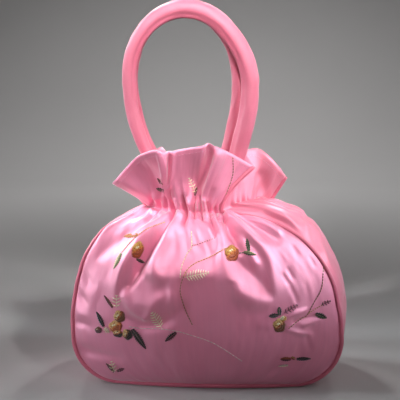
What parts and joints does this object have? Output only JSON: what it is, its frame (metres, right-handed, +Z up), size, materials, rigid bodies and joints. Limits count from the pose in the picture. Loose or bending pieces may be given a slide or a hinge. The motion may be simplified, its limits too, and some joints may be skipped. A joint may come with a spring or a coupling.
{
  "type": "drawstring handbag",
  "caption": "Gathered satin pouch handbag with bellied front and back panels, a side and bottom gusset, piped seams, a pleated neck with a flared frill, and padded loop handles",
  "frame": {"origin": "bottom centre of the bounding box, on the surface the bag stands on", "axes": "+Z up through the neck and handles, +X to the right across the bag seen from the front, +Y from the front panel to the back panel"},
  "size_m": [0.2755, 0.1472, 0.3686],
  "materials": {
    "embroidered_satin": "glossy satin with thread embroidery",
    "plain_satin": "glossy satin",
    "piping_satin": "satin over cord",
    "handle_satin": "padded satin"
  },
  "bodies": {
    "root": {"front_panel": "embroidered_satin", "back_panel": "embroidered_satin", "gusset": "plain_satin", "front_piping": "piping_satin", "back_piping": "piping_satin", "front_handle": "handle_satin", "back_handle": "handle_satin"}
  },
  "joints": []
}
